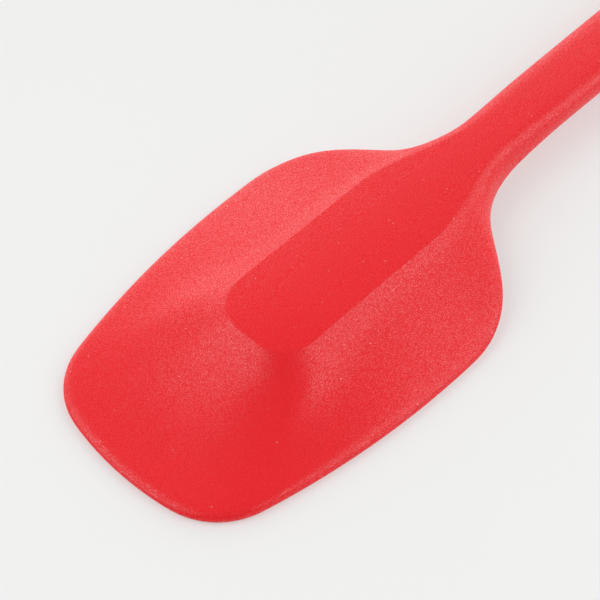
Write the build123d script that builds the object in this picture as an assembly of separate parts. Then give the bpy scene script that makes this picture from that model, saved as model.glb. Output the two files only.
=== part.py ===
from build123d import *
import os
from math import cos, hypot, radians, sin, sqrt, tan

# A one-piece silicone spatula, lying on its open side as on a table.
# X runs from the blade's tip to the handle's end, Y is across, Z is up and Z = 0 is the table.
# The origin is in the middle of the length. A station is a distance from the tip along X.

# Whole object
overall_length = 276.0

# Head, seen from above
head_width = 64.0
front_radius = 68.0
corner_radius = 16.2
side_radius = 186.5
widest_station = 60.7
shoulder_station = 65.0
shoulder_radius = 21.4
shoulder_turn = 51.7
neck_radius = 24.7

# Blade's rim, which lies on the table
rim_thickness = 2.2
rim_round = 0.9
rim_land = 1.5

# Flat raised spine on the back of the blade
spine_height = 10.85
spine_width = 20.8
spine_station = 34.4
spine_front_radius = 80.0
spine_corner_radius = 6.3
wall_run = 3.2
wall_drop = 2.05
taper_station = 80.0
taper_length = 54.0
taper_power = 1.8

# Bowl under the blade
bowl_depth = 5.8
ceiling_margin = 0.8
ceiling_end_station = 72.0
ceiling_fall_length = 26.0

# Rim's rise over the shoulders into the handle's side
rise_length = 27.0

# Handle
neck_width = 14.2
neck_thickness = 7.8
neck_flat_width = 6.6
grip_width = 17.0
grip_flat_width = 8.0
side_facet = 0.8
end_flat_share = 0.985

# Hang hole
hole_radius = 3.0
hole_from_end = 12.5
hole_edge_round = 0.7

# Silicone over the hard pieces
top_skin = 1.6
under_skin = 1.35
side_skin = 1.8
handle_skin = 1.8
hole_lining = 1.5

# Handle bar
bar_width = 8.0
bar_thickness = 2.0
bar_to_eye = 2.0
bar_hole_radius = 1.6
bar_hole_edge = 7.0
bar_hole_pitch = 18.0

# Head core's plate with its windows, and its socket round the bar
plate_end_station = 80.0
socket_station = 92.0
socket_length = 36.0
socket_front_wall = 6.0
socket_round = 1.0
window_radius = 3.0
window_station = 46.0
window_pitch = 13.0
window_count = 3

# End core round the bar and the hang hole
end_core_overlap = 29.0
eye_wall = 1.9
end_core_round = 1.2

# Sections of the lofts
neck_sections = 12
cap_sections = 7

# Shape of the handle's quarter curves, and where they are divided into a section's edges
oval_pull_share = 0.6
upper_division_shares = (0.3, 0.65)
lower_division_shares = (0.6, 0.8)

half_head = head_width / 2
half_spine = spine_width / 2
foot_height = spine_height - wall_drop
handle_middle = spine_height - neck_thickness / 2
neck_bottom = spine_height - neck_thickness
cap_length = grip_width / 2 / end_flat_share
cap_station = overall_length - cap_length * end_flat_share
hole_station = overall_length - hole_from_end
eye_radius = hole_radius + hole_lining
bar_end_station = hole_station - eye_radius - bar_to_eye
bar_start_station = socket_station + socket_front_wall


def place(station, y, z):
    return Vector(station - overall_length / 2, y, z)


def smooth(share):
    share = min(max(share, 0.0), 1.0)
    return share * share * (3 - 2 * share)


def mix(a, b, share):
    return a + (b - a) * share


# Outlines seen from above


def arc_between(centre, radius, start, end):
    """Arc round a centre from one outline point to the next, each given as station and half width."""
    middle = ((start[0] + end[0]) / 2 - centre[0], (start[1] + end[1]) / 2 - centre[1])
    reach = radius / hypot(*middle)
    through = (centre[0] + middle[0] * reach, centre[1] + middle[1] * reach)
    return start, through, end


def blade_corner():
    """Centre of the corner arc that touches the front arc and the side arc from inside."""
    side_y = half_head - side_radius
    along = widest_station - front_radius
    span = hypot(along, side_y)
    front_reach = front_radius - corner_radius
    side_reach = side_radius - corner_radius
    run = (span**2 + front_reach**2 - side_reach**2) / (2 * span)
    rise = sqrt(front_reach**2 - run**2)
    return (
        front_radius + (along * run + side_y * rise) / span,
        (side_y * run - along * rise) / span,
    )


def beyond(start, through, reach):
    """Point at a distance from start in the direction of another point."""
    scale = reach / hypot(through[0] - start[0], through[1] - start[1])
    return start[0] + (through[0] - start[0]) * scale, start[1] + (through[1] - start[1]) * scale


def blade_arcs(inset):
    """Half outline of the blade from the widest place round to the tip, drawn in by an inset."""
    corner = blade_corner()
    front_centre = (front_radius, 0.0)
    side_centre = (widest_station, half_head - side_radius)
    front_touch = beyond(front_centre, corner, front_radius - inset)
    side_touch = beyond(side_centre, corner, side_radius - inset)
    widest = (widest_station, half_head - inset)
    side = arc_between(side_centre, side_radius - inset, widest, side_touch)
    turn = arc_between(corner, corner_radius - inset, side_touch, front_touch)
    return side, turn, front_touch, inset


def spine_arcs(grow):
    """Half outline of the spine's front end from the widest station to the front, grown all round."""
    corner_y = half_spine - spine_corner_radius
    front_x = spine_station + spine_front_radius
    reach = spine_front_radius - spine_corner_radius
    corner = (front_x - sqrt(reach**2 - corner_y**2), corner_y)
    front_touch = beyond((front_x, 0.0), corner, spine_front_radius + grow)
    side_touch = (corner[0], half_spine + grow)
    widest = (widest_station, half_spine + grow)
    turn = arc_between(corner, spine_corner_radius + grow, side_touch, front_touch)
    return (widest, None, side_touch), turn, front_touch, spine_station - grow


def front_loop(arcs, height):
    """Closed wire of a half outline and its mirror image, ended by the line at the widest station."""
    side, turn, front_touch, tip = arcs

    def edge(points, sign):
        start, through, end = [p and place(p[0], sign * p[1], height) for p in points]
        return ThreePointArc(start, through, end) if through else Line(start, end)

    front = ThreePointArc(
        place(front_touch[0], front_touch[1], height),
        place(tip, 0, height),
        place(front_touch[0], -front_touch[1], height),
    )
    right = [edge(points, -1) for points in (side, turn)]
    left = [edge(points, 1) for points in (side, turn)]
    closing = Line(place(*side[0], height), place(side[0][0], -side[0][1], height))
    return Wire(left + [front] + right + [closing])


# Front of the head


def head_front():
    """Blade up to its widest station: rim band, ruled slopes, spine wall, and the bowl cut out."""
    rim_loop = front_loop(blade_arcs(0), rim_thickness)
    foot_loop = front_loop(spine_arcs(wall_run), foot_height)
    flat_loop = front_loop(spine_arcs(0), spine_height)
    band = extrude(Face(front_loop(blade_arcs(0), 0)), rim_thickness, dir=(0, 0, 1))
    slopes = Solid.make_loft([rim_loop, foot_loop], ruled=True)
    wall = Solid.make_loft([foot_loop, flat_loop], ruled=True)
    head = band + slopes + wall
    joint_plane = place(widest_station, 0, 0).X

    def on_rim(edge):
        middle = edge @ 0.5
        level = abs(middle.Z) < rim_round / 2 or abs(middle.Z - rim_thickness) < rim_round / 2
        return level and joint_plane - middle.X > rim_round and abs(edge.tangent_at(0.5).Z) < 0.5

    head = fillet(head.edges().filter_by(on_rim), rim_round)
    bowl = Solid.make_loft(
        [
            front_loop(blade_arcs(rim_land), 0),
            front_loop(spine_arcs(wall_run + ceiling_margin), bowl_depth),
        ],
        ruled=True,
    )
    return head - bowl


# Back of the head, neck and handle, as a loft through sections


def side_width(station):
    """Half width of the object behind the widest station."""
    turn = radians(shoulder_turn)
    half_neck = neck_width / 2
    shoulder_end = shoulder_station + shoulder_radius * sin(turn)
    shoulder_y = half_head - shoulder_radius * (1 - cos(turn))
    neck_y = half_neck + neck_radius * (1 - cos(turn))
    straight_end = shoulder_end + (shoulder_y - neck_y) / tan(turn)
    neck_end = straight_end + neck_radius * sin(turn)
    if station <= shoulder_station:
        return half_head
    if station < shoulder_end:
        return half_head - shoulder_radius + sqrt(shoulder_radius**2 - (station - shoulder_station) ** 2)
    if station < straight_end:
        return shoulder_y - (station - shoulder_end) * tan(turn)
    if station < neck_end:
        return half_neck + neck_radius - sqrt(neck_radius**2 - (neck_end - station) ** 2)
    share = min((station - neck_end) / (cap_station - neck_end), 1.0)
    return mix(half_neck, grip_width / 2, share)


def neck_end_station():
    turn = radians(shoulder_turn)
    drop = half_head - neck_width / 2 - (shoulder_radius + neck_radius) * (1 - cos(turn))
    return shoulder_station + (shoulder_radius + neck_radius) * sin(turn) + drop / tan(turn)


def spine_half(station):
    """Half width of the flat top, which narrows behind the head and widens a little to the grip."""
    left = 1 - min(max((station - taper_station) / taper_length, 0.0), 1.0)
    taper_end = taper_station + taper_length
    share = min(max((station - taper_end) / (cap_station - taper_end), 0.0), 1.0)
    slim = mix(neck_flat_width, grip_flat_width, share) / 2
    return slim + (half_spine - slim) * left**taper_power


def grip_share(station):
    return min(max((station - neck_end_station()) / (cap_station - neck_end_station()), 0.0), 1.0)


def split(curve, share):
    """Divide a cubic curve's four control points at a share of its length."""
    a, b, c, d = curve
    ab, bc, cd = mix(a, b, share), mix(b, c, share), mix(c, d, share)
    abc, bcd = mix(ab, bc, share), mix(bc, cd, share)
    middle = mix(abc, bcd, share)
    return (a, ab, abc, middle), (middle, bcd, cd, d)


def straight(start, end):
    return start, mix(start, end, 1 / 3), mix(start, end, 2 / 3), end


def rounding(corner, before, after, radius):
    """Cubic curve of a rounded corner between the directions to the points before and after it."""
    inward = (before - corner).normalized()
    outward = (after - corner).normalized()
    bend = radians(180 - inward.get_angle(outward))
    reach = radius * tan(bend / 2)
    pull = 4 / 3 * tan(bend / 4) * radius
    start = corner + inward * reach
    end = corner + outward * reach
    return start, start - inward * pull, end - outward * pull, end


def head_edges(station):
    """Edges of the half section in the head's style, from the bowl's ceiling to the flat top."""
    rise = smooth((station - shoulder_station) / rise_length)
    middle = mix(rim_thickness / 2, handle_middle, rise)
    side = side_width(station)
    low = middle - rim_thickness / 2
    high = middle + rim_thickness / 2
    flat = spine_half(station)
    foot_share = wall_run / (half_head - half_spine)
    drop_share = wall_drop / (spine_height - rim_thickness)
    foot = flat + (side - flat) * foot_share
    foot_z = spine_height - (spine_height - high) * drop_share
    fall = smooth((station - ceiling_end_station) / ceiling_fall_length)
    ceiling = mix(bowl_depth, neck_bottom, fall)
    margin_share = (wall_run + ceiling_margin) / (half_head - half_spine)
    roof = flat + (side - flat) * margin_share

    def at(y, z):
        return place(station, y, z)

    lower = rounding(at(side, low), at(side - rim_land, low), at(side, high), rim_round)
    upper = rounding(at(side, high), at(side, low), at(foot, foot_z), rim_round)
    land = at(side - rim_land, low)
    return [
        straight(at(roof, ceiling), land),
        straight(land, lower[0]),
        lower,
        straight(lower[-1], upper[0]),
        upper,
        straight(upper[-1], at(foot, foot_z)),
        straight(at(foot, foot_z), at(flat, spine_height)),
    ]


def handle_edges(station, middle, bottom, side, flat):
    """The same edges in the handle's style: an oval with a flat top and bottom."""

    def at(y, z):
        return place(station, y, z)

    facet = side_facet / 2

    def quarter(level, edge_z):
        return (
            at(flat, level),
            at(mix(flat, side, oval_pull_share), level),
            at(side, mix(edge_z, level, oval_pull_share)),
            at(side, edge_z),
        )

    first, second = lower_division_shares
    slope, rest = split(quarter(bottom, middle - facet), first)
    land, lower = split(rest, (second - first) / (1 - first))
    first, second = upper_division_shares
    wall, rest = split(quarter(spine_height, middle + facet), first)
    shoulder, upper = split(rest, (second - first) / (1 - first))
    side_line = straight(at(side, middle - facet), at(side, middle + facet))
    return [slope, land, lower, side_line, upper[::-1], shoulder[::-1], wall[::-1]]


def blend_edges(first, second, share):
    return [[mix(a, b, share) for a, b in zip(one, other)] for one, other in zip(first, second)]


def half_section(station):
    """Half section of the solid at a station, changing from the head's style to the handle's."""
    slope = grip_share(station)
    bottom = mix(neck_bottom, 0, slope)
    handle = handle_edges(
        station, (spine_height + bottom) / 2, bottom, side_width(station), spine_half(station)
    )
    share = smooth((station - shoulder_station) / (neck_end_station() - shoulder_station))
    return blend_edges(head_edges(station), handle, share)


def cap_section(share):
    """Half section of the rounded end, at a share of the cap's length."""
    station = cap_station + cap_length * share
    narrow = sqrt(1 - share**2)
    thin = (1 - share**4) ** (1 / 4)
    middle = spine_height / 2
    side = grip_width / 2 * narrow
    flat = grip_flat_width / 2 * narrow
    edges = handle_edges(station, middle, 0, side, flat)
    return [[Vector(p.X, p.Y, middle + (p.Z - middle) * thin) for p in edge] for edge in edges]


def section_wire(half, exact):
    """Closed wire of a half section and its mirror image."""

    def curve(points, rounded):
        if rounded:
            return exact_arc(points)
        return Bezier(*points)

    def flipped(points):
        return [Vector(p.X, -p.Y, p.Z) for p in reversed(points)]

    rounds = [exact and index in (2, 4) for index in range(len(half))]
    left = [curve(points, r) for points, r in zip(half, rounds)]
    right = [curve(flipped(points), r) for points, r in zip(reversed(half), reversed(rounds))]
    top = half[-1][-1]
    bottom = half[0][0]
    top_line = Line(top, Vector(top.X, -top.Y, top.Z))
    bottom_line = Line(Vector(bottom.X, -bottom.Y, bottom.Z), bottom)
    return Wire([bottom_line] + left + [top_line] + right)


def exact_arc(points):
    """True arc of the rim's rounding, through the middle of its cubic curve's own circle."""
    start, pull, _, end = points
    radius = rim_round
    chord = end - start
    half_chord = chord.length / 2
    sagitta = radius - sqrt(radius**2 - half_chord**2)
    outward = (pull - start) - chord.normalized() * (pull - start).dot(chord.normalized())
    return ThreePointArc(start, start + chord / 2 + outward.normalized() * sagitta, end)


def loft_through(halves, exact_start=False, ruled=False):
    wires = [section_wire(half, exact_start and index == 0) for index, half in enumerate(halves)]
    return Solid.make_loft(wires, ruled=ruled)


def back_and_handle():
    """Solid behind the widest station: shoulders and neck, straight handle, and its rounded end."""
    neck_end = neck_end_station()
    neck_steps = range(neck_sections)
    neck = [mix(widest_station, neck_end, step / (neck_sections - 1)) for step in neck_steps]
    taper_end = taper_station + taper_length
    handle_steps = [mix(neck_end, taper_end, share) for share in (0, 0.3, 0.65, 1)] + [cap_station]
    cap = [sin(radians(90) * step / cap_sections) for step in range(cap_sections)]
    cap_shares = cap + [end_flat_share]
    return [
        loft_through([half_section(station) for station in neck], exact_start=True),
        loft_through([half_section(station) for station in handle_steps], ruled=True),
        loft_through([cap_section(share) for share in cap_shares]),
    ]


def outer_form():
    """Whole outer form of the spatula, with the hang hole through its end."""
    form = head_front()
    for piece in back_and_handle():
        form += piece
    bore = Cylinder(hole_radius, 2 * spine_height)
    form -= Pos(place(hole_station, 0, spine_height / 2)) * bore
    hole_x = place(hole_station, 0, 0).X

    def on_hole(edge):
        box = edge.bounding_box()
        round_hole = abs(box.size.X - 2 * hole_radius) < hole_edge_round / 2
        return round_hole and abs(box.center().X - hole_x) < hole_edge_round / 2

    return fillet(form.edges().filter_by(on_hole), hole_edge_round)


# Hard pieces inside


def slab(start, end, width, low, high):
    """Box between two stations and two heights, centred across."""
    middle = place((start + end) / 2, 0, (low + high) / 2)
    return Pos(middle) * Box(end - start, width, high - low)


def make_handle_bar():
    low = handle_middle - bar_thickness / 2
    bar = slab(bar_start_station, bar_end_station, bar_width, low, low + bar_thickness)
    first = bar_start_station + bar_hole_edge
    span = bar_end_station - bar_start_station - 2 * bar_hole_edge
    gaps = max(round(span / bar_hole_pitch), 1)
    for step in range(gaps + 1):
        hole = Cylinder(bar_hole_radius, 2 * bar_thickness)
        bar -= Pos(place(first + span * step / gaps, 0, handle_middle)) * hole
    return bar


def cross_rectangle(station, width, low, high):
    corner = width / 2
    points = [(corner, low), (corner, high), (-corner, high), (-corner, low)]
    return Wire(Polyline(*[place(station, y, z) for y, z in points], close=True))


def make_head_core(bar):
    plate_low = bowl_depth + under_skin
    plate_high = spine_height - top_skin
    plate_width = spine_width - 2 * side_skin
    front = extrude(Face(front_loop(spine_arcs(-side_skin), plate_low)), plate_high - plate_low, dir=(0, 0, 1))
    plate = front + slab(widest_station, plate_end_station, plate_width, plate_low, plate_high)
    for step in range(window_count):
        window = Cylinder(window_radius, 2 * spine_height)
        plate -= Pos(place(window_station + window_pitch * step, 0, plate_low)) * window
    socket_low = neck_bottom + handle_skin
    socket_high = spine_height - handle_skin
    socket_width = neck_width - 2 * handle_skin
    shoulder = Solid.make_loft(
        [
            cross_rectangle(plate_end_station, plate_width, plate_low, plate_high),
            cross_rectangle(socket_station, socket_width, socket_low, socket_high),
        ],
        ruled=True,
    )
    socket_end = socket_station + socket_length
    socket = slab(socket_station, socket_end, socket_width, socket_low, socket_high)
    socket = fillet(socket.edges().group_by(Axis.X)[-1], socket_round)
    return plate + shoulder + socket - bar


def make_end_core(bar):
    """Block round the bar's rear end, rounded off round the eye of the hang hole."""
    start = bar_end_station - end_core_overlap
    low = mix(neck_bottom, 0, grip_share(start)) + handle_skin
    height = spine_height - handle_skin - low
    width = 2 * (eye_radius + eye_wall)
    block = slab(start, hole_station, width, low, low + height)
    block += Pos(place(hole_station, 0, low + height / 2)) * Cylinder(width / 2, height)
    block = fillet(block.edges().filter_by(lambda edge: abs(edge.tangent_at(0.5).Z) < 0.5), end_core_round)
    eye = Cylinder(eye_radius, 2 * height)
    return block - Pos(place(hole_station, 0, low + height / 2)) * eye - bar


def save(part, node):
    part.label = node
    export_step(part, f"parts/{node}.step")


os.makedirs("parts", exist_ok=True)
handle_bar = make_handle_bar()
head_core = make_head_core(handle_bar)
end_core = make_end_core(handle_bar)
silicone_body = outer_form() - handle_bar - head_core - end_core
save(silicone_body, "silicone_body")
save(head_core, "head_core")
save(handle_bar, "handle_bar")
save(end_core, "end_core")
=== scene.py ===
from math import atan2, cos, hypot, pi, radians, sin, sqrt, tan

import bmesh
import bpy
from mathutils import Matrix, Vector


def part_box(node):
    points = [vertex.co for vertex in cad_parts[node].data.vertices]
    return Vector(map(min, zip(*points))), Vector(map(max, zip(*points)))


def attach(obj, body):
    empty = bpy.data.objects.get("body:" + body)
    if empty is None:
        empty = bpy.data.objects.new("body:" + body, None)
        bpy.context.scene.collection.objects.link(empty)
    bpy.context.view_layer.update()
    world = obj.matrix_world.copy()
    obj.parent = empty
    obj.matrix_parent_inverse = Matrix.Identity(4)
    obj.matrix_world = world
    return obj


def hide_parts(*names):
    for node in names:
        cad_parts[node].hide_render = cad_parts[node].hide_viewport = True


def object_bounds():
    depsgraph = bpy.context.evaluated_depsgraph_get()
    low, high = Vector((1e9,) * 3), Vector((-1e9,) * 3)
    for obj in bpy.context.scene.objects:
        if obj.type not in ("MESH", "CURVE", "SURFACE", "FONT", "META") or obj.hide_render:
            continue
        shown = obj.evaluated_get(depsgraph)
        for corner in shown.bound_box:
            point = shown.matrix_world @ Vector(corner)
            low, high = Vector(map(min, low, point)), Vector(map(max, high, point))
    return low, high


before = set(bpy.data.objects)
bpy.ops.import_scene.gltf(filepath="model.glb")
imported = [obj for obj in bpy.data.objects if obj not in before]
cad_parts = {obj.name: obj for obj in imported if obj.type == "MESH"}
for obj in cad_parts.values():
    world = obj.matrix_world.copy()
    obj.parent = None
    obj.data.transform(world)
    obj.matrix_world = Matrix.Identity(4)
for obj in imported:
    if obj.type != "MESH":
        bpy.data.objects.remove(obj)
cad_low, cad_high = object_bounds()

# A one-piece silicone spatula that lies on its open side.
# X runs from the blade's tip to the handle's end and Z is up. A station is a distance from the tip.

MM = 0.001
SIDEWAYS = Vector((0, 1))
EIGHTH_TURN = radians(45)

# Whole object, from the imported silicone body
body_low, body_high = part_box("silicone_body")
LENGTH = body_high.x - body_low.x
TIP_X = body_low.x
HALF_HEAD = body_high.y
SPINE_TOP = body_high.z

# Blade, seen from above: the arcs of its front, corner and side, then of its shoulder and neck
FRONT_RADIUS = 68.0 * MM
CORNER_RADIUS = 16.2 * MM
SIDE_RADIUS = 186.5 * MM
WIDEST = 60.7 * MM
SHOULDER = 66.0 * MM
SHOULDER_RADIUS = 21.4 * MM
SHOULDER_TURN = radians(52.5)
NECK_RADIUS = 23.4 * MM

# Stretch over which the head's section becomes the handle's
NECK_FORM_START = 80.0 * MM
NECK_FORM_LENGTH = 32.0 * MM

# Rim, with the height of its middle by station. The smoothing at the end draws its outline in a little.
RIM_THICKNESS = 2.2 * MM
RIM_ROUND = 1.0 * MM
RIM_LAND = 1.5 * MM
RIM_STATIONS = [station * MM for station in (65, 70, 74, 79, 84, 87, 93, 99, 105, 110, 116, 122)]
RIM_HEIGHTS = [height * MM for height in (1.1, 1.4, 1.95, 3.35, 5.1, 5.6, 4.8, 4.0, 4.5, 6.2, 7.3, 7.4)]
ROUNDING_LOSS = 0.06 * MM

# Lip, the soft curve from the slope down to the rim's middle
LIP_RUN = 2.2 * MM
LIP_MOST_SHARE = 0.5
LIP_PULL_SHARE = 0.5

# Raised spine with its crowned top, and the short wall round it, which is deeper at the front
HALF_SPINE = 10.4 * MM
SPINE_FRONT = 34.4 * MM
SPINE_FRONT_RADIUS = 80.0 * MM
SPINE_CORNER_RADIUS = 8.3 * MM
SPINE_DIP = 0.7 * MM
SPINE_DIP_LENGTH = 16.0 * MM
CROWN = 0.6 * MM
EDGE_ROUND = 0.35 * MM
WALL_RUN = 3.4 * MM
WALL_DROP = 2.05 * MM
FRONT_WALL_RUN = 5.5 * MM
FRONT_WALL_DROP = 3.0 * MM
CORNER_DEPTH_SHARE = 0.6
CORNER_FADE = 22.0 * MM

# Narrowing of the spine to the handle's top
TAPER_START = 80.0 * MM
TAPER_LENGTH = 54.0 * MM
TAPER_POWER = 1.8

# Bowl under the blade
BOWL_DEPTH = 5.8 * MM
BOWL_MARGIN = 4.0 * MM
BOWL_END = 72.0 * MM
BOWL_FALL_LENGTH = 26.0 * MM

# Neck and handle
HALF_NECK = 7.05 * MM
NECK_THICKNESS = 7.8 * MM
NECK_HALF_FLAT = 3.3 * MM
HALF_GRIP = 8.5 * MM
GRIP_HALF_FLAT = 4.0 * MM
HANDLE_FALL_START = 130.0 * MM
HANDLE_FLAT_SHARE = 0.55
UPPER_PULL_SHARE = 0.75
LOWER_PULL_SHARE = 0.66
END_POWER = 4

# Hang hole, and how far past its edge the handle's curves start beside it
HOLE_RADIUS = 3.0 * MM
HOLE_EDGE = 0.7 * MM
HOLE_EDGE_TURNS = [radians(turn) for turn in (30, 60, 90)]
HOLE_FROM_END = 12.5 * MM
HOLE_MARGIN = 0.9 * MM
CURVE_STEP = 0.01

NECK_BOTTOM = SPINE_TOP - NECK_THICKNESS
CAP_START = LENGTH - HALF_GRIP
HOLE_STATION = LENGTH - HOLE_FROM_END
HOLE_RING = HOLE_RADIUS + HOLE_EDGE

# Number of sections along each stretch of the outline, from the tip round to the handle's end.
# The spine's corner takes the fan steps as well, so that its sections spread out to the blade's corner.
FRONT_STEPS = 4
FRONT_FAN_STEPS = 2
CORNER_STEPS = 8
SIDE_FAN_STEPS = 3
SIDE_STEPS = 10
SHOULDER_STEPS = 14
HANDLE_STEPS = 13
HOLE_STEPS = 8
CAP_STEPS = 7
CAP_TURN = radians(80.0)

# Where the fan's sections start on the middle line of the top
TOP_FAN_START = SPINE_FRONT + HALF_SPINE / 4

# Places in a section of the head, as shares: from the top's middle to its edge, from there to the wall's
# foot, from the foot to the lip, round the lip, from the rim's land to the bowl's ceiling, and back along
# the ceiling to its middle
TOP_SHARES = (0, 0.4, 0.75)
WALL_SHARES = (EDGE_ROUND / WALL_RUN, 0.5, 1.0)
SLOPE_SHARES = (0.14, 0.34, 0.58, 0.84)
LIP_SHARES = (0, 0.35, 0.7, 1)
BOWL_SHARES = (0.05, 0.35, 0.7, 0.93)
CEILING_SHARES = (0.66, 0.33, 0)

# Places in a section of the handle, as shares: on its top, and on its upper and lower quarter curves.
# The underside takes the ceiling's shares, so both kinds of section have as many points.
HANDLE_TOP_SHARES = (0, 0.4, 0.75, 0.9)
UPPER_SHARES = (0, 0.11, 0.22, 0.33, 0.44, 0.54, 0.63, 0.72, 0.8, 0.88, 0.95)
LOWER_SHARES = (0.95, 0.86, 0.74, 0.55, 0.35, 0.12, 0)


def smooth(share):
    """Share from 0 to 1 that starts and ends softly."""
    share = min(max(share, 0.0), 1.0)
    return share * share * (3 - 2 * share)


def mix(a, b, share):
    return a + (b - a) * share


def through(places, values, place):
    """Smooth curve through values at rising places, level before the first one and after the last one."""
    if place <= places[0]:
        return values[0]
    if place >= places[-1]:
        return values[-1]
    index = max(i for i, known in enumerate(places) if known <= place)
    gap = places[index + 1] - places[index]
    slopes = []
    for i in (index, index + 1):
        if i in (0, len(places) - 1):
            slopes.append(0.0)
        else:
            slopes.append((values[i + 1] - values[i - 1]) / (places[i + 1] - places[i - 1]))
    t = (place - places[index]) / gap
    start = (1 + 2 * t) * (1 - t) ** 2 * values[index] + t * (1 - t) ** 2 * gap * slopes[0]
    return start + t**2 * (3 - 2 * t) * values[index + 1] + t**2 * (t - 1) * gap * slopes[1]


def toward(start, end, reach):
    """Point at a distance from start in the direction of another point."""
    return start + (end - start).normalized() * reach


def at_height(place, height):
    return Vector((place.x, place.y, height))


def quarter(start, corner, end, pull, share):
    """Point on a soft quarter curve from start to end, pulled to the corner between them."""
    first = start.lerp(corner, pull)
    second = end.lerp(corner, pull)
    left = 1 - share
    return start * left**3 + first * 3 * left**2 * share + second * 3 * left * share**2 + end * share**3


# Outlines seen from above


def arc(centre, radius, first, last, steps):
    """Points of an arc from one angle to another, without the first one."""
    angles = [mix(first, last, step / steps) for step in range(1, steps + 1)]
    return [Vector((centre[0] + radius * cos(a), centre[1] + radius * sin(a))) for a in angles]


def blade_outline():
    """Blade from the tip to its widest place: a front arc, a corner arc and a long side arc."""
    side_y = HALF_HEAD - SIDE_RADIUS
    along = WIDEST - FRONT_RADIUS
    span = hypot(along, side_y)
    front_reach = FRONT_RADIUS - CORNER_RADIUS
    run = (span**2 + front_reach**2 - (SIDE_RADIUS - CORNER_RADIUS) ** 2) / (2 * span)
    rise = sqrt(front_reach**2 - run**2)
    corner = (
        FRONT_RADIUS + (along * run + side_y * rise) / span,
        (side_y * run - along * rise) / span,
    )
    front_turn = atan2(corner[1], corner[0] - FRONT_RADIUS)
    side_turn = atan2(corner[1] - side_y, corner[0] - WIDEST)
    return (
        [Vector((0, 0))]
        + arc((FRONT_RADIUS, 0), FRONT_RADIUS, pi, front_turn, FRONT_STEPS + FRONT_FAN_STEPS)
        + arc(corner, CORNER_RADIUS, front_turn, side_turn, CORNER_STEPS)
        + arc((WIDEST, side_y), SIDE_RADIUS, side_turn, pi / 2, SIDE_STEPS + SIDE_FAN_STEPS)
    )


def spine_outline():
    """Edge of the spine's top round its front end, with as many points as the blade's outline."""
    fan_steps = FRONT_FAN_STEPS + CORNER_STEPS + SIDE_FAN_STEPS
    corner_y = HALF_SPINE - SPINE_CORNER_RADIUS
    centre_x = SPINE_FRONT + SPINE_FRONT_RADIUS
    corner_x = centre_x - sqrt((SPINE_FRONT_RADIUS - SPINE_CORNER_RADIUS) ** 2 - corner_y**2)
    turn = atan2(corner_y, corner_x - centre_x)
    side = [
        Vector((mix(corner_x, WIDEST, step / SIDE_STEPS), HALF_SPINE)) for step in range(1, SIDE_STEPS + 1)
    ]
    return (
        [Vector((SPINE_FRONT, 0))]
        + arc((centre_x, 0), SPINE_FRONT_RADIUS, pi, turn, FRONT_STEPS)
        + arc((corner_x, corner_y), SPINE_CORNER_RADIUS, turn, pi / 2, fan_steps)
        + side
    )


NECK_END = (
    SHOULDER
    + (SHOULDER_RADIUS + NECK_RADIUS) * sin(SHOULDER_TURN)
    + (HALF_HEAD - HALF_NECK - (SHOULDER_RADIUS + NECK_RADIUS) * (1 - cos(SHOULDER_TURN)))
    / tan(SHOULDER_TURN)
)


def side_width(station):
    """Half width behind the widest place: round shoulder, straight flank, neck arc and slim handle."""
    shoulder_end = SHOULDER + SHOULDER_RADIUS * sin(SHOULDER_TURN)
    neck_start = NECK_END - NECK_RADIUS * sin(SHOULDER_TURN)
    if station <= SHOULDER:
        return HALF_HEAD
    if station < shoulder_end:
        return HALF_HEAD - SHOULDER_RADIUS + sqrt(SHOULDER_RADIUS**2 - (station - SHOULDER) ** 2)
    if station < neck_start:
        drop = SHOULDER_RADIUS * (1 - cos(SHOULDER_TURN))
        return HALF_HEAD - drop - (station - shoulder_end) * tan(SHOULDER_TURN)
    if station < NECK_END:
        return HALF_NECK + NECK_RADIUS - sqrt(NECK_RADIUS**2 - (NECK_END - station) ** 2)
    return mix(HALF_NECK, HALF_GRIP, min((station - NECK_END) / (CAP_START - NECK_END), 1.0))


def top_width(station):
    """Half width of the crowned top, which narrows behind the head and widens a little to the grip."""
    left = 1 - min(max((station - TAPER_START) / TAPER_LENGTH, 0.0), 1.0)
    taper_end = TAPER_START + TAPER_LENGTH
    share = min(max((station - taper_end) / (CAP_START - taper_end), 0.0), 1.0)
    slim = mix(NECK_HALF_FLAT, GRIP_HALF_FLAT, share)
    return slim + (HALF_SPINE - slim) * left**TAPER_POWER


# Heights


def crown_drop(y):
    """How far the softly crowned top lies below its middle line."""
    return CROWN * (y / HALF_SPINE) ** 2


def top_height(place):
    """Height of the spine's top, which is crowned across and dips a little at its front end."""
    ahead = 1 - min(max((place.x - SPINE_FRONT) / SPINE_DIP_LENGTH, 0.0), 1.0)
    return SPINE_TOP - SPINE_DIP * ahead**2 - crown_drop(place.y)


def handle_bottom(station):
    """Height of the handle's underside, which comes down to the table at the far end."""
    fall = min(max((station - HANDLE_FALL_START) / (CAP_START - HANDLE_FALL_START), 0.0), 1.0)
    return mix(NECK_BOTTOM, 0, fall)


def rim_height(station):
    """Height of the rim's middle, which rises over the shoulders and becomes the handle's side."""
    lowered = (handle_bottom(station) - NECK_BOTTOM) / 2
    return through(RIM_STATIONS, RIM_HEIGHTS, station) + lowered


# Sections: each goes from the middle of the top, over the rim, to the middle of the underside


def front_share(edge, square):
    """Share of the front's deep wall: all of it in front of the spine, and less round its corners."""
    behind = (edge.x - SPINE_FRONT - SPINE_CORNER_RADIUS) / CORNER_FADE
    corner = CORNER_DEPTH_SHARE * smooth(1 - max(behind, 0.0))
    return mix(corner, 1.0, smooth(-square.x))


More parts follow.
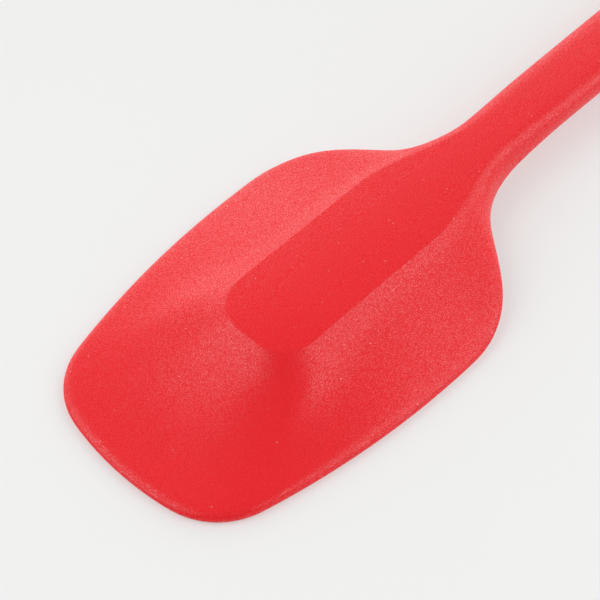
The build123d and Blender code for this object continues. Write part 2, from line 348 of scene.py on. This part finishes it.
def head_section(middle, ceiling_middle, edge, rim, rim_middle, ceiling, square=SIDEWAYS):
    """Section of the head: crowned top, short wall, slope with a rounded lip, rim, land and bowl.

    The wall leaves the top's edge in the direction of square. The slope is hollow where it faces forward.
    """
    outward = (rim - edge).normalized()
    rim = rim + outward * ROUNDING_LOSS
    reach = (rim - edge).length
    top = top_height(edge)
    high = rim_middle + RIM_THICKNESS / 2
    low = rim_middle - RIM_THICKNESS / 2

    row = [middle.lerp(edge, share) for share in TOP_SHARES] + [toward(edge, middle, EDGE_ROUND), edge]
    points = [at_height(place, top_height(place)) for place in row]

    front = front_share(edge, square)
    wall_run = min(mix(WALL_RUN, FRONT_WALL_RUN, front), reach * WALL_RUN / (HALF_HEAD - HALF_SPINE))
    wall_drop = mix(WALL_DROP, FRONT_WALL_DROP, front)
    foot_height = top - wall_drop * (top - high) / (SPINE_TOP - RIM_THICKNESS)
    foot = edge + square * wall_run
    points += [at_height(edge.lerp(foot, share), mix(top, foot_height, share)) for share in WALL_SHARES]

    hollow = max(-outward.x, 0.0) ** 2

    def on_slope(share):
        return at_height(foot.lerp(rim, share), mix(foot_height, high, share + hollow * share * (1 - share)))

    lip_share = 1 - min(LIP_RUN / (rim - foot).length, LIP_MOST_SHARE)
    points += [on_slope(share * lip_share) for share in SLOPE_SHARES]
    lip = (on_slope(lip_share), at_height(rim, high), at_height(rim, rim_middle))
    points += [quarter(*lip, LIP_PULL_SHARE, share) for share in LIP_SHARES]

    under_rim = toward(rim, edge, RIM_ROUND * (1 - cos(EIGHTH_TURN)))
    points.append(at_height(under_rim, low + RIM_ROUND * (1 - sin(EIGHTH_TURN))))
    points.append(at_height(toward(rim, edge, RIM_ROUND), low))

    land = toward(rim, edge, RIM_LAND)
    roof = toward(edge, rim, min(BOWL_MARGIN, reach * BOWL_MARGIN / (HALF_HEAD - HALF_SPINE)))
    points += [at_height(land.lerp(roof, share), mix(low, ceiling, share)) for share in BOWL_SHARES]
    return points + [at_height(ceiling_middle.lerp(roof, share), ceiling) for share in CEILING_SHARES]


def quarter_row(flat_edge, waist, pull, inner, shares):
    """Quarter of the handle's oval, from its flat or from beside the hang hole to its waist."""
    corner = Vector((flat_edge.x, waist.y, flat_edge.z))
    first = 0.0
    while inner > 0 and quarter(flat_edge, corner, waist, pull, first).y < inner + HOLE_MARGIN:
        first += CURVE_STEP
    return [quarter(flat_edge, corner, waist, pull, mix(first, 1.0, share)) for share in shares]


def handle_section(station, middle, side, flat, top, bottom, waist_height):
    """Section of the handle: an oval with a softly crowned top and a flattened underside."""
    waist = Vector((station, side, waist_height))
    top_edge = Vector((station, flat, top - crown_drop(flat)))
    low_edge = Vector((station, flat, bottom))
    upper = quarter_row(top_edge, waist, UPPER_PULL_SHARE, middle.y, UPPER_SHARES)
    *lower, under_edge = quarter_row(low_edge, waist, LOWER_PULL_SHARE, middle.y, LOWER_SHARES)

    points = []
    for share in HANDLE_TOP_SHARES:
        place = at_height(middle, top).lerp(upper[0], share)
        place.z = mix(top, upper[0].z, (place.y / upper[0].y) ** 2)
        points.append(place)
    points += upper + [waist] + lower
    return points + [at_height(middle, bottom).lerp(under_edge, share) for share in CEILING_SHARES]


def back_section(station, middle=None):
    """Section behind the widest place, changing from the head's form to the handle's."""
    centre = middle or Vector((station, 0))
    side = side_width(station)
    flat = top_width(station)
    waist = rim_height(station)
    handle = handle_section(
        station, centre, side, flat * HANDLE_FLAT_SHARE, SPINE_TOP, handle_bottom(station), waist
    )
    share = smooth((station - NECK_FORM_START) / NECK_FORM_LENGTH)
    if share >= 1:
        return handle
    ceiling = mix(BOWL_DEPTH, NECK_BOTTOM, smooth((station - BOWL_END) / BOWL_FALL_LENGTH))
    edge = Vector((station, flat))
    rim = Vector((station, side))
    head = head_section(centre, centre, edge, rim, waist, ceiling)
    return [a.lerp(b, share) for a, b in zip(head, handle)]


def cap_section(share):
    """Section of the handle's rounded end."""
    station = CAP_START + HALF_GRIP * share
    narrow = sqrt(1 - share**2)
    thin = (1 - share**END_POWER) ** (1 / END_POWER)
    centre = Vector((station, 0))
    middle = SPINE_TOP / 2
    top = middle + middle * thin
    side = HALF_GRIP * narrow
    flat = GRIP_HALF_FLAT * narrow
    return handle_section(station, centre, side, flat, top, middle - middle * thin, middle)


def front_sections():
    """Sections that fan out round the spine's front end, from the tip to the blade's widest place."""
    blade = blade_outline()
    spine = spine_outline()
    count = len(blade) - 1
    sections = []
    for step, (rim, edge) in enumerate(zip(blade, spine)):
        along = spine[min(step + 1, count)] - spine[step - 1] if step else SIDEWAYS
        square = Vector((-along.y, along.x)).normalized()
        top_middle = Vector((mix(TOP_FAN_START, WIDEST, step / count), 0))
        under_middle = Vector((mix(SPINE_FRONT, WIDEST, step / count), 0))
        sections.append(
            head_section(top_middle, under_middle, edge, rim, RIM_THICKNESS / 2, BOWL_DEPTH, square)
        )
    return sections


def hole_sections(start):
    """Sections beside the hang hole, whose middles follow the round of its edge."""
    sections = []
    for step in range(HOLE_STEPS + 1):
        turn = pi * step / HOLE_STEPS
        middle = Vector((HOLE_STATION - HOLE_RING * cos(turn), HOLE_RING * sin(turn)))
        sections.append(back_section(mix(start, start + 2 * HOLE_RING, step / HOLE_STEPS), middle))
    return sections


def all_sections():
    """Sections from the tip, round the blade's outline, to the handle's end, and the hole's first one."""
    hole_start = HOLE_STATION - HOLE_RING
    sections = front_sections()
    sections += [
        back_section(mix(WIDEST, NECK_END, step / SHOULDER_STEPS)) for step in range(1, SHOULDER_STEPS + 1)
    ]
    sections += [
        back_section(mix(NECK_END, hole_start, step / HANDLE_STEPS)) for step in range(1, HANDLE_STEPS)
    ]
    first_hole = len(sections)
    sections += hole_sections(hole_start)
    sections += [cap_section(sin(CAP_TURN * step / CAP_STEPS)) for step in range(1, CAP_STEPS + 1)]
    return sections, first_hole


# Modelling of the silicone skin

MERGE_DISTANCE = 0.02 * MM
SMOOTHING_LEVELS = 2


def select_only(piece):
    bpy.ops.object.select_all(action="DESELECT")
    bpy.context.view_layer.objects.active = piece
    piece.select_set(True)


def apply_modifier(piece, kind, **values):
    select_only(piece)
    modifier = piece.modifiers.new(kind.lower(), kind)
    for name, value in values.items():
        setattr(modifier, name, value)
    bpy.ops.object.modifier_apply(modifier=modifier.name)


def move_vertex(vertex, place):
    """Move one vertex to its place by hand."""
    vertex.select_set(True)
    bpy.ops.transform.translate(value=place - vertex.co)
    vertex.select_set(False)


def select_line(bm, line):
    """Select the edges between vertices that follow each other."""
    for a, b in zip(line, line[1:]):
        bm.edges.get((a, b)).select_set(True)


def build_silicone():
    """Half of the outer skin as one wrapped sheet, pierced, mirrored, closed and subdivided."""
    sections, first_hole = all_sections()
    sections = [[Vector((p.x + TIP_X, p.y, p.z)) for p in section] for section in sections]
    across = len(sections[0])
    bpy.ops.object.select_all(action="DESELECT")
    bpy.ops.mesh.primitive_grid_add(
        x_subdivisions=across - 1, y_subdivisions=len(sections) - 1, size=LENGTH, location=(0, 0, 0)
    )
    skin = bpy.context.object
    skin.name = "silicone_overmould"
    bpy.ops.object.mode_set(mode="EDIT")
    bpy.ops.mesh.select_mode(type="VERT")
    bpy.ops.mesh.select_all(action="DESELECT")
    bm = bmesh.from_edit_mesh(skin.data)
    bm.verts.ensure_lookup_table()
    for row, section in enumerate(sections):
        for column, place in enumerate(section):
            move_vertex(bm.verts[row * across + column], place)

    pierce_hang_hole(skin, across, first_hole)
    bpy.ops.object.mode_set(mode="OBJECT")
    apply_modifier(
        skin, "MIRROR", use_axis=(False, True, False), use_clip=True, merge_threshold=MERGE_DISTANCE
    )
    bpy.ops.object.mode_set(mode="EDIT")
    bpy.ops.mesh.select_all(action="SELECT")
    bpy.ops.mesh.remove_doubles(threshold=MERGE_DISTANCE)
    bpy.ops.mesh.select_all(action="DESELECT")
    bpy.ops.mesh.select_non_manifold()
    bpy.ops.mesh.edge_face_add()
    bpy.ops.mesh.poke()
    bpy.ops.mesh.select_all(action="SELECT")
    bpy.ops.mesh.normals_make_consistent(inside=False)
    bpy.ops.object.mode_set(mode="OBJECT")
    apply_modifier(skin, "SUBSURF", levels=SMOOTHING_LEVELS, render_levels=SMOOTHING_LEVELS)
    bpy.ops.object.shade_smooth()
    return skin


def pierce_hang_hole(skin, across, first_hole):
    """Take the edges round the half hole down through the handle to those of the underside."""
    bm = bmesh.from_edit_mesh(skin.data)
    bm.verts.ensure_lookup_table()
    steps = range(HOLE_STEPS + 1)
    top_row = [bm.verts[(first_hole + step) * across] for step in steps]
    low_row = [bm.verts[(first_hole + step) * across + across - 1] for step in steps]
    turns = [pi * step / HOLE_STEPS for step in steps]
    hole_x = HOLE_STATION + TIP_X

    # Each ring's radius and its drop below the top, and then the same rings above the underside
    rings = [
        (HOLE_RADIUS + HOLE_EDGE * (1 - sin(turn)), HOLE_EDGE * (1 - cos(turn))) for turn in HOLE_EDGE_TURNS
    ]
    rings += [(radius, -drop) for radius, drop in reversed(rings)]

    row = top_row
    for radius, drop in rings:
        bpy.ops.mesh.select_all(action="DESELECT")
        select_line(bm, row)
        bpy.ops.mesh.extrude_edges_move()
        bm = bmesh.from_edit_mesh(skin.data)
        bm.verts.ensure_lookup_table()
        fresh = [v for v in bm.verts if v.select]
        row = [min(fresh, key=lambda v, t=t: (v.co - t.co).length) for t in row]
        bpy.ops.mesh.select_all(action="DESELECT")
        for vertex, turn, high, low in zip(row, turns, top_row, low_row):
            base = high.co.z if drop > 0 else low.co.z
            place = Vector((hole_x - radius * cos(turn), radius * sin(turn), base - drop))
            move_vertex(vertex, place)
    bpy.ops.mesh.select_all(action="DESELECT")
    select_line(bm, row)
    select_line(bm, low_row)
    bpy.ops.mesh.bridge_edge_loops()


# Nodes that the materials share

# The Mix node's colour sockets by number, because several sockets have the same name
COLOUR_A = 6
COLOUR_B = 7
COLOUR_RESULT = 2

# Grain's soft bumps against its small ones: how often they come and how high they are
SOFT_BUMP_SCALE = 0.4
SOFT_BUMP_SHARE = 0.8


def new_material(name):
    material = bpy.data.materials.new(name)
    material.use_nodes = True
    return material, material.node_tree, material.node_tree.nodes["Principled BSDF"]


def set_sockets(node, values):
    """Set values on a node's sockets by name or number."""
    for name, value in values.items():
        node.inputs[name].default_value = value


def add_node(tree, kind, values=None, **settings):
    """New node with its settings, and with values on its sockets."""
    node = tree.nodes.new(kind)
    for name, value in settings.items():
        setattr(node, name, value)
    set_sockets(node, values or {})
    return node


def new_group(name, inputs, outputs):
    """Node group with named float or vector inputs and float outputs."""
    group = bpy.data.node_groups.new(name, "ShaderNodeTree")
    for socket in inputs:
        kind = "NodeSocketVector" if socket == "Vector" else "NodeSocketFloat"
        group.interface.new_socket(socket, in_out="INPUT", socket_type=kind)
    for socket in outputs:
        group.interface.new_socket(socket, in_out="OUTPUT", socket_type="NodeSocketFloat")
    return group, group.nodes.new("NodeGroupInput"), group.nodes.new("NodeGroupOutput")


def grain_group():
    """Bead-blasted mould surface: small bumps with larger soft ones under them."""
    group, entry, result = new_group("moulded grain", ("Vector", "Scale"), ("Height",))
    fine = add_node(group, "ShaderNodeTexNoise", {"Detail": 1.0, "Roughness": 0.6})
    wide_scale = add_node(group, "ShaderNodeMath", {1: SOFT_BUMP_SCALE}, operation="MULTIPLY")
    wide = add_node(group, "ShaderNodeTexNoise", {"Detail": 0.0})
    both = add_node(group, "ShaderNodeMath", {1: SOFT_BUMP_SHARE}, operation="MULTIPLY_ADD")
    group.links.new(entry.outputs["Vector"], fine.inputs["Vector"])
    group.links.new(entry.outputs["Vector"], wide.inputs["Vector"])
    group.links.new(entry.outputs["Scale"], fine.inputs["Scale"])
    group.links.new(entry.outputs["Scale"], wide_scale.inputs[0])
    group.links.new(wide_scale.outputs[0], wide.inputs["Scale"])
    group.links.new(wide.outputs["Fac"], both.inputs[0])
    group.links.new(fine.outputs["Fac"], both.inputs[2])
    group.links.new(both.outputs[0], result.inputs["Height"])
    return group


def drift_group():
    """Slow drift of tone over a surface, from 0 to 1."""
    group, entry, result = new_group("tone drift", ("Vector", "Scale"), ("Tone",))
    cloud = add_node(group, "ShaderNodeTexNoise", {"Detail": 3.0, "Roughness": 0.55})
    spread = add_node(group, "ShaderNodeMapRange", {"From Min": 0.3, "From Max": 0.7})
    group.links.new(entry.outputs["Vector"], cloud.inputs["Vector"])
    group.links.new(entry.outputs["Scale"], cloud.inputs["Scale"])
    group.links.new(cloud.outputs["Fac"], spread.inputs["Value"])
    group.links.new(spread.outputs["Result"], result.inputs["Tone"])
    return group


def speck_group():
    """Sparse small specks: only a few cells of a cell pattern carry one."""
    group, entry, result = new_group("sparse specks", ("Vector", "Scale", "Size", "Rarity"), ("Mask",))
    cells = add_node(group, "ShaderNodeTexVoronoi")
    near = add_node(group, "ShaderNodeMath", operation="LESS_THAN")
    pick = add_node(group, "ShaderNodeSeparateColor")
    rare = add_node(group, "ShaderNodeMath", operation="GREATER_THAN")
    mask = add_node(group, "ShaderNodeMath", operation="MULTIPLY")
    group.links.new(entry.outputs["Vector"], cells.inputs["Vector"])
    group.links.new(entry.outputs["Scale"], cells.inputs["Scale"])
    group.links.new(cells.outputs["Distance"], near.inputs[0])
    group.links.new(entry.outputs["Size"], near.inputs[1])
    group.links.new(cells.outputs["Color"], pick.inputs["Color"])
    group.links.new(pick.outputs["Red"], rare.inputs[0])
    group.links.new(entry.outputs["Rarity"], rare.inputs[1])
    group.links.new(near.outputs[0], mask.inputs[0])
    group.links.new(rare.outputs[0], mask.inputs[1])
    group.links.new(mask.outputs[0], result.inputs["Mask"])
    return group


GRAIN = grain_group()
DRIFT = drift_group()
SPECKS = speck_group()


def object_place(tree):
    return add_node(tree, "ShaderNodeTexCoord").outputs["Object"]


def place_group(tree, group, coordinates, **values):
    """Node group placed in a material, with the material's own values."""
    node = add_node(tree, "ShaderNodeGroup", node_tree=group)
    set_sockets(node, values)
    tree.links.new(coordinates, node.inputs["Vector"])
    return node


def mix_colours(tree, factor, first, second):
    """Mix two colours, each a plain colour or another node's output."""
    node = add_node(tree, "ShaderNodeMix", data_type="RGBA")
    tree.links.new(factor, node.inputs["Factor"])
    for socket, colour in ((node.inputs[COLOUR_A], first), (node.inputs[COLOUR_B], second)):
        if isinstance(colour, tuple):
            socket.default_value = colour
        else:
            tree.links.new(colour, socket)
    return node.outputs[COLOUR_RESULT]


def spread_value(tree, source, low, high, first=0.0, last=1.0):
    """Carry values between first and last over to values between low and high."""
    limits = {"From Min": first, "From Max": last, "To Min": low, "To Max": high}
    node = add_node(tree, "ShaderNodeMapRange", limits)
    tree.links.new(source, node.inputs["Value"])
    return node.outputs["Result"]


def streaks(tree, coordinates, stretch, width, detail):
    """Noise that is drawn out along the handle into fibres or rolling lines."""
    drawn = add_node(tree, "ShaderNodeMapping", {"Scale": stretch})
    tree.links.new(coordinates, drawn.inputs["Vector"])
    noise = add_node(tree, "ShaderNodeTexNoise", {"Scale": 1 / width, "Detail": detail})
    tree.links.new(drawn.outputs["Vector"], noise.inputs["Vector"])
    return noise.outputs["Fac"]


def add_bump(tree, shader, height, distance):
    bump = add_node(tree, "ShaderNodeBump", {"Distance": distance, "Strength": 1.0})
    tree.links.new(height, bump.inputs["Height"])
    tree.links.new(bump.outputs["Normal"], shader.inputs["Normal"])


# Red silicone: its tones, its moulded grain, the smooth tips that sparkle with a paler red painted on them
# as painted sparkle, and specks of dust
RED = (0.87, 0.0095, 0.0165, 1)
DEEP_RED = (0.85, 0.0085, 0.015, 1)
# Paler red painted on the grain's tips: painted sparkle, a painted highlight in the base colour
PAINTED_SPARKLE_RED = (0.89, 0.017, 0.025, 1)
RED_DRIFT_SIZE = 12 * MM
GRAIN_SIZE = 0.14 * MM
GRAIN_HEIGHT = 0.028 * MM
TIP_SIZE = 0.2 * MM
TIP_START = 0.43
TIP_FULL = 0.72
SILICONE_ROUGHNESS = 0.56
TIP_ROUGHNESS = 0.3
SILICONE_GLOSS = {"Specular IOR Level": 0.25, "Coat Roughness": 0.28, "Coat IOR": 1.65}
SPECK = (0.93, 0.25, 0.25, 1)
SPECK_GAP = 1.6 * MM
SPECK_SIZE = 0.09
SPECK_RARITY = 0.86


def silicone_material():
    """Satin red silicone: fine moulded grain whose smooth tips sparkle and carry a paler red as painted
    sparkle, and a few pale specks of dust.
    """
    material, tree, shader = new_material("red silicone")
    place = object_place(tree)
    grain = place_group(tree, GRAIN, place, Scale=1 / GRAIN_SIZE)
    drift = place_group(tree, DRIFT, place, Scale=1 / RED_DRIFT_SIZE)
    specks = place_group(tree, SPECKS, place, Scale=1 / SPECK_GAP, Size=SPECK_SIZE, Rarity=SPECK_RARITY)
    sparkle = add_node(tree, "ShaderNodeTexNoise", {"Scale": 1 / TIP_SIZE, "Detail": 0.0})
    tree.links.new(place, sparkle.inputs["Vector"])
    tips = spread_value(tree, sparkle.outputs["Fac"], 0.0, 1.0, TIP_START, TIP_FULL)
    red = mix_colours(tree, drift.outputs["Tone"], DEEP_RED, RED)
    # Paler red mixed in at the grain's tips: painted sparkle, a painted highlight in the base colour; the
    # same tips also get real gloss through roughness and coat
    red_with_painted_sparkle = mix_colours(tree, tips, red, PAINTED_SPARKLE_RED)
    colour = mix_colours(tree, specks.outputs["Mask"], red_with_painted_sparkle, SPECK)
    tree.links.new(colour, shader.inputs["Base Color"])
    roughness = spread_value(tree, tips, SILICONE_ROUGHNESS, TIP_ROUGHNESS)
    tree.links.new(roughness, shader.inputs["Roughness"])
    tree.links.new(tips, shader.inputs["Coat Weight"])
    set_sockets(shader, SILICONE_GLOSS)
    add_bump(tree, shader, grain.outputs["Height"], GRAIN_HEIGHT)
    return material


# Glass-filled nylon: its tones, the glass fibres in it and its dull grain
NYLON = (0.8, 0.78, 0.72, 1)
DEEP_NYLON = (0.74, 0.71, 0.64, 1)
FIBRE = (0.88, 0.87, 0.84, 1)
NYLON_DRIFT_SIZE = 15 * MM
FIBRE_WIDTH = 0.3 * MM
FIBRE_STRETCH = (0.25, 1, 1)
FIBRE_DETAIL = 2.0
LEAST_FIBRE = -0.2
MOST_FIBRE = 0.6
NYLON_GRAIN_SIZE = 0.3 * MM
NYLON_GRAIN_HEIGHT = 0.02 * MM
NYLON_SMOOTHEST = 0.5
NYLON_ROUGHEST = 0.68


def nylon_material():
    """Glass-filled nylon: pale grey with short fibre streaks and a dull moulded surface."""
    material, tree, shader = new_material("glass-filled nylon")
    place = object_place(tree)
    fibres = streaks(tree, place, FIBRE_STRETCH, FIBRE_WIDTH, FIBRE_DETAIL)
    grain = place_group(tree, GRAIN, place, Scale=1 / NYLON_GRAIN_SIZE)
    drift = place_group(tree, DRIFT, place, Scale=1 / NYLON_DRIFT_SIZE)
    pale = mix_colours(tree, drift.outputs["Tone"], DEEP_NYLON, NYLON)
    colour = mix_colours(tree, spread_value(tree, fibres, LEAST_FIBRE, MOST_FIBRE), pale, FIBRE)
    tree.links.new(colour, shader.inputs["Base Color"])
    roughness = spread_value(tree, grain.outputs["Height"], NYLON_SMOOTHEST, NYLON_ROUGHEST)
    tree.links.new(roughness, shader.inputs["Roughness"])
    add_bump(tree, shader, grain.outputs["Height"], NYLON_GRAIN_HEIGHT)
    return material


# Rolled steel: its tones, the rolling lines along the bar and its duller patches
BRIGHT_STEEL = (0.7, 0.7, 0.71, 1)
DEEP_STEEL = (0.55, 0.55, 0.56, 1)
DULL_STEEL = (0.5, 0.49, 0.48, 1)
PATCH_SIZE = 9 * MM
PATCH_SHARE = 0.3
LINE_WIDTH = 0.12 * MM
LINE_STRETCH = (0.02, 1, 1)
LINE_DETAIL = 3.0
LINE_HEIGHT = 0.004 * MM
STEEL_SMOOTHEST = 0.25
STEEL_ROUGHEST = 0.45


def steel_material():
    """Rolled stainless strip: fine lines along the bar and a few duller patches."""
    material, tree, shader = new_material("rolled steel")
    set_sockets(shader, {"Metallic": 1.0})
    place = object_place(tree)
    lines = streaks(tree, place, LINE_STRETCH, LINE_WIDTH, LINE_DETAIL)
    drift = place_group(tree, DRIFT, place, Scale=1 / PATCH_SIZE)
    rolled = mix_colours(tree, lines, DEEP_STEEL, BRIGHT_STEEL)
    patches = spread_value(tree, drift.outputs["Tone"], 0.0, PATCH_SHARE)
    tree.links.new(mix_colours(tree, patches, rolled, DULL_STEEL), shader.inputs["Base Color"])
    roughness = spread_value(tree, lines, STEEL_SMOOTHEST, STEEL_ROUGHEST)
    tree.links.new(roughness, shader.inputs["Roughness"])
    add_bump(tree, shader, lines, LINE_HEIGHT)
    return material


def give_material(piece, material):
    piece.data.materials.clear()
    piece.data.materials.append(material)


skin = build_silicone()
give_material(skin, silicone_material())
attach(skin, "root")
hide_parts("silicone_body")

nylon = nylon_material()
give_material(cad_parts["head_core"], nylon)
give_material(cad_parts["end_core"], nylon)
give_material(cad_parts["handle_bar"], steel_material())


# Pale table. Seen directly or in a reflection, it glows towards an even white away from the object.
FLOOR_SIZE = 6.0
FLOOR_GAP = 0.05 * MM
TABLE = (0.88, 0.877, 0.873, 1)
DEEP_TABLE = (0.865, 0.862, 0.858, 1)
TABLE_DRIFT_SIZE = 90 * MM
TABLE_GLOSS = {"Roughness": 0.7, "Specular IOR Level": 0.1}
GLOW = (0.92, 0.92, 0.912, 1)
NEAR_GLOW = 0.45
GLOW_START = 0.3
GLOW_END = 1.0


def build_floor():
    bpy.ops.object.select_all(action="DESELECT")
    bpy.ops.mesh.primitive_plane_add(size=FLOOR_SIZE, location=(0, 0, cad_low.z - FLOOR_GAP))
    floor = bpy.context.object
    floor.name = "floor"
    floor.data.materials.append(table_material())


def table_material():
    """Pale table that keeps the object's shadow near it."""
    material, tree, shader = new_material("pale table")
    place = object_place(tree)
    drift = place_group(tree, DRIFT, place, Scale=1 / TABLE_DRIFT_SIZE)
    tone = mix_colours(tree, drift.outputs["Tone"], DEEP_TABLE, TABLE)
    tree.links.new(tone, shader.inputs["Base Color"])
    set_sockets(shader, TABLE_GLOSS)
    glow = add_node(tree, "ShaderNodeEmission", {"Color": GLOW})
    path = add_node(tree, "ShaderNodeLightPath")
    far = add_node(tree, "ShaderNodeVectorMath", operation="LENGTH")
    tree.links.new(place, far.inputs[0])
    seen = path.outputs["Is Camera Ray"]
    for kind in ("Is Glossy Ray", "Is Transmission Ray"):
        either = add_node(tree, "ShaderNodeMath", operation="MAXIMUM")
        tree.links.new(seen, either.inputs[0])
        tree.links.new(path.outputs[kind], either.inputs[1])
        seen = either.outputs[0]
    share = add_node(tree, "ShaderNodeMath", operation="MULTIPLY")
    reach = spread_value(tree, far.outputs["Value"], NEAR_GLOW, 1.0, GLOW_START, GLOW_END)
    tree.links.new(reach, share.inputs[0])
    tree.links.new(seen, share.inputs[1])
    blend = add_node(tree, "ShaderNodeMixShader")
    tree.links.new(share.outputs[0], blend.inputs["Fac"])
    tree.links.new(shader.outputs["BSDF"], blend.inputs[1])
    tree.links.new(glow.outputs["Emission"], blend.inputs[2])
    tree.links.new(blend.outputs["Shader"], tree.nodes["Material Output"].inputs["Surface"])
    return material


# Camera
VIEW_AZIMUTH = radians(-45.6)
VIEW_ELEVATION = radians(54.0)
VIEW_DISTANCE = 341.7 * MM
VIEW_ANGLE = radians(20.0)
VIEW_TARGET = Vector((-85.69 * MM, 2.92 * MM, 1.05 * MM))
VIEW_NEAREST = 10 * MM
VIEW_FARTHEST = 10.0


def build_camera():
    back = Vector(
        (
            sin(VIEW_AZIMUTH) * cos(VIEW_ELEVATION),
            -cos(VIEW_AZIMUTH) * cos(VIEW_ELEVATION),
            sin(VIEW_ELEVATION),
        )
    )
    bpy.ops.object.camera_add(location=VIEW_TARGET + back * VIEW_DISTANCE)
    camera = bpy.context.object
    camera.rotation_euler = (-back).to_track_quat("-Z", "Y").to_euler()
    camera.data.angle = VIEW_ANGLE
    camera.data.clip_start = VIEW_NEAREST
    camera.data.clip_end = VIEW_FARTHEST
    bpy.context.scene.camera = camera


# Lamps: name, direction from the blade, width in metres and power in watts
LAMP_TARGET = Vector((-60.0 * MM, 0, 0))
LAMP_DISTANCE = 0.9
LAMPS = (
    ("left softbox", (-0.543, 0.411, 0.732), 0.75, 3.9),
    ("right softbox", (0.42, -0.596, 0.685), 0.85, 4.5),
)


def build_lamp(name, direction, size, power):
    place = LAMP_TARGET + Vector(direction).normalized() * LAMP_DISTANCE
    bpy.ops.object.light_add(type="AREA", location=place)
    lamp = bpy.context.object
    lamp.name = name
    lamp.rotation_euler = (LAMP_TARGET - place).to_track_quat("-Z", "Y").to_euler()
    lamp.data.shape = "SQUARE"
    lamp.data.size = size
    lamp.data.energy = power
    lamp.visible_camera = False


# Studio: height above the horizon with its brightness, from level to straight up, beyond the object and on
# the camera's side, and how far round the bright sweep reaches
FAR_SKY = (
    (0.0, 1.0),
    (0.08, 1.7),
    (0.25, 2.25),
    (0.42, 1.6),
    (0.6, 0.97),
    (0.81, 0.47),
    (0.93, 0.09),
    (1.0, 0.03),
)
NEAR_SKY = ((0.0, 0.95), (0.15, 0.95), (0.4, 0.35), (0.6, 0.07), (1.0, 0.03))
SWEEP_DIRECTION = Vector((0.7, 0.714, 0))
SWEEP_REACH = {"From Min": 0.0, "From Max": 0.85}


def grey(value):
    return (value, value, value, 1)


def sky_ramp(tree, height, levels):
    """Brightness by height through the given levels. A new ramp already has its first and last stop."""
    ramp = add_node(tree, "ShaderNodeValToRGB")
    stops = ramp.color_ramp.elements
    stops[0].color = grey(levels[0][1])
    stops[-1].color = grey(levels[-1][1])
    for place, value in levels[1:-1]:
        stops.new(place).color = grey(value)
    tree.links.new(height, ramp.inputs[0])
    return ramp.outputs["Color"]


def build_world():
    """Studio with a bright sweep beyond the object, a dim ceiling and a dim camera side."""
    world = bpy.data.worlds.new("studio")
    bpy.context.scene.world = world
    world.use_nodes = True
    tree = world.node_tree
    direction = add_node(tree, "ShaderNodeTexCoord").outputs["Generated"]
    parts = add_node(tree, "ShaderNodeSeparateXYZ")
    away = add_node(tree, "ShaderNodeVectorMath", {1: SWEEP_DIRECTION}, operation="DOT_PRODUCT")
    side = add_node(tree, "ShaderNodeMapRange", SWEEP_REACH, interpolation_type="SMOOTHSTEP")
    tree.links.new(direction, parts.inputs[0])
    tree.links.new(direction, away.inputs[0])
    tree.links.new(away.outputs["Value"], side.inputs["Value"])
    near = sky_ramp(tree, parts.outputs["Z"], NEAR_SKY)
    far = sky_ramp(tree, parts.outputs["Z"], FAR_SKY)
    sky = mix_colours(tree, side.outputs["Result"], near, far)
    tree.links.new(sky, tree.nodes["Background"].inputs["Color"])


build_floor()
build_camera()
for lamp in LAMPS:
    build_lamp(*lamp)
build_world()
bpy.context.scene.view_settings.view_transform = "Standard"
